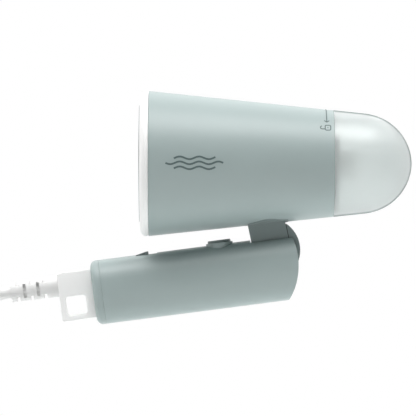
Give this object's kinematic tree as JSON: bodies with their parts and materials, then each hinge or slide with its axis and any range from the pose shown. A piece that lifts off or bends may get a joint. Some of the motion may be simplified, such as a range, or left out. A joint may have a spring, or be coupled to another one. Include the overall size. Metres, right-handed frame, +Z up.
{
  "type": "garment steamer",
  "caption": "Folding travel garment steamer: conical head with round heated plate and clear tank on a hinged handle, with trigger, slide switch, hanging loop, coiled mains lead and plug.",
  "frame": {"origin": "on the handle's axis at mid grip", "axes": "+X along the head towards its water tank, +Y across the handle, +Z up, with the head above the folded handle"},
  "size_m": [0.3039, 0.1266, 0.2303],
  "materials": {
    "sage_plastic": "satin moulded ABS",
    "deep_sage_plastic": "satin moulded glass-filled nylon",
    "white_plastic": "moulded polypropylene",
    "dark_plastic": "moulded glass-filled nylon",
    "clear_tank": "smoky clear polycarbonate",
    "hard_plate": "brushed hard-anodised aluminium",
    "cast_aluminium": "as cast",
    "steel": "zinc-plated steel",
    "silicone": "moulded silicone",
    "board": "solder mask",
    "cord_sheath": "extruded PVC",
    "plated_brass": "nickel-plated brass"
  },
  "bodies": {
    "handle": {"handle_shell_left": "sage_plastic", "handle_shell_right": "sage_plastic", "handle_screws": "steel", "handle_end_cap": "sage_plastic", "hinge_pin": "steel", "detent_plunger": "steel", "trigger_ring": "sage_plastic", "micro_switch": "dark_plastic", "switch_carrier": "white_plastic", "slide_switch": "dark_plastic", "terminal_block": "white_plastic", "cord_loop": "white_plastic", "strain_relief": "white_plastic", "inner_lead": "cord_sheath", "cord_clamp": "white_plastic", "supply_cord": "cord_sheath", "cord_coil": "cord_sheath", "cord_tie": "silicone", "cord_lead": "cord_sheath", "plug_relief": "white_plastic", "plug_body": "white_plastic", "plug_pins": "plated_brass"},
    "trigger": {"trigger_button": "deep_sage_plastic"},
    "slider": {"power_slider": "dark_plastic"},
    "head": {"head_shell": "sage_plastic", "front_bezel": "white_plastic", "soleplate": "hard_plate", "plate_gasket": "silicone", "boiler": "cast_aluminium", "heating_element": "steel", "boiler_carrier": "dark_plastic", "boiler_screws": "steel", "thermostat": "dark_plastic", "thermal_fuse": "steel", "heat_shield": "steel", "pump": "dark_plastic", "pump_mounts": "silicone", "pump_cradle": "dark_plastic", "outlet_hose": "silicone", "inlet_hose": "silicone", "control_board": "board", "board_spacers": "white_plastic", "tank_seat": "dark_plastic", "hinge_neck": "deep_sage_plastic", "knuckle_shield": "deep_sage_plastic", "neck_screws": "steel"},
    "tank": {"water_tank": "clear_tank", "tank_collar": "white_plastic", "tank_oring": "silicone", "tank_valve": "white_plastic", "valve_cage": "white_plastic", "filler_plug": "silicone"}
  },
  "joints": [
    {"name": "fold_hinge", "type": "hinge", "parent": "handle", "child": "head", "pos_m": [0.04512, 0, 0.01826], "axis": [0, 1, 0], "range_deg": [0, 90]},
    {"name": "trigger_press", "type": "slide", "parent": "handle", "child": "trigger", "axis": [0.1288, 0, -0.9917], "range_m": [0, 0.002], "stiffness_N_per_m": 300, "springref_m": -0.003},
    {"name": "power_slide", "type": "slide", "parent": "handle", "child": "slider", "axis": [0.9917, 0, 0.1288], "range_m": [0, 0.005]},
    {"name": "tank_twist", "type": "hinge", "parent": "head", "child": "tank", "pos_m": [0.085, 0, 0.071], "axis": [1, 0, 0], "range_deg": [0, 32]}
  ]
}
